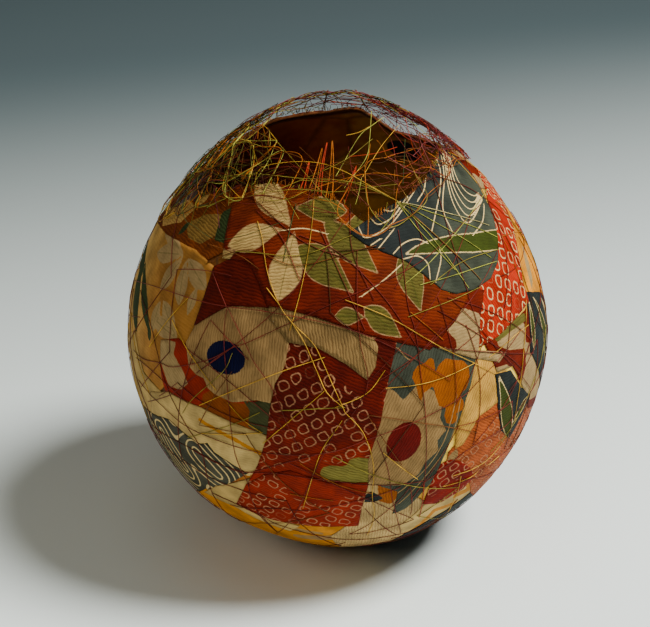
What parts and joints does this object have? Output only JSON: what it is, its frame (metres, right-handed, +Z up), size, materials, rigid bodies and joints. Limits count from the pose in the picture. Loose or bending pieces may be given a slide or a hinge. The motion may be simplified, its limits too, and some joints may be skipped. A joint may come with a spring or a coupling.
{
  "type": "temari ball vessel of pieced silk with a thread net mouth",
  "caption": "Hollow ball of silk scraps pieced edge over edge, open at the top, where an irregular net of sewing thread closes in round the mouth.",
  "frame": {"origin": "middle of the small flat spot on the underside that the ball rests on", "axes": "+Z up through the mouth, -Y towards the side where the standing loops are, which is the picture's front, +X to the right of it"},
  "size_m": [0.1498, 0.1502, 0.1596],
  "materials": {
    "pieced_silk": "dyed silk crepe scraps in rust, red, gold, cream, slate and green, pasted and stitched edge over edge, with a faint ribbed crepe surface",
    "sewing_thread": "twisted sewing thread in maroon, brown, olive and gold, with a slight silky lustre",
    "red_thread": "twisted sewing thread in red orange, with a slight silky lustre"
  },
  "bodies": {
    "root": {"cloth_shell": "pieced_silk", "thread_net": "sewing_thread", "loop_tuft": "red_thread"}
  },
  "joints": []
}
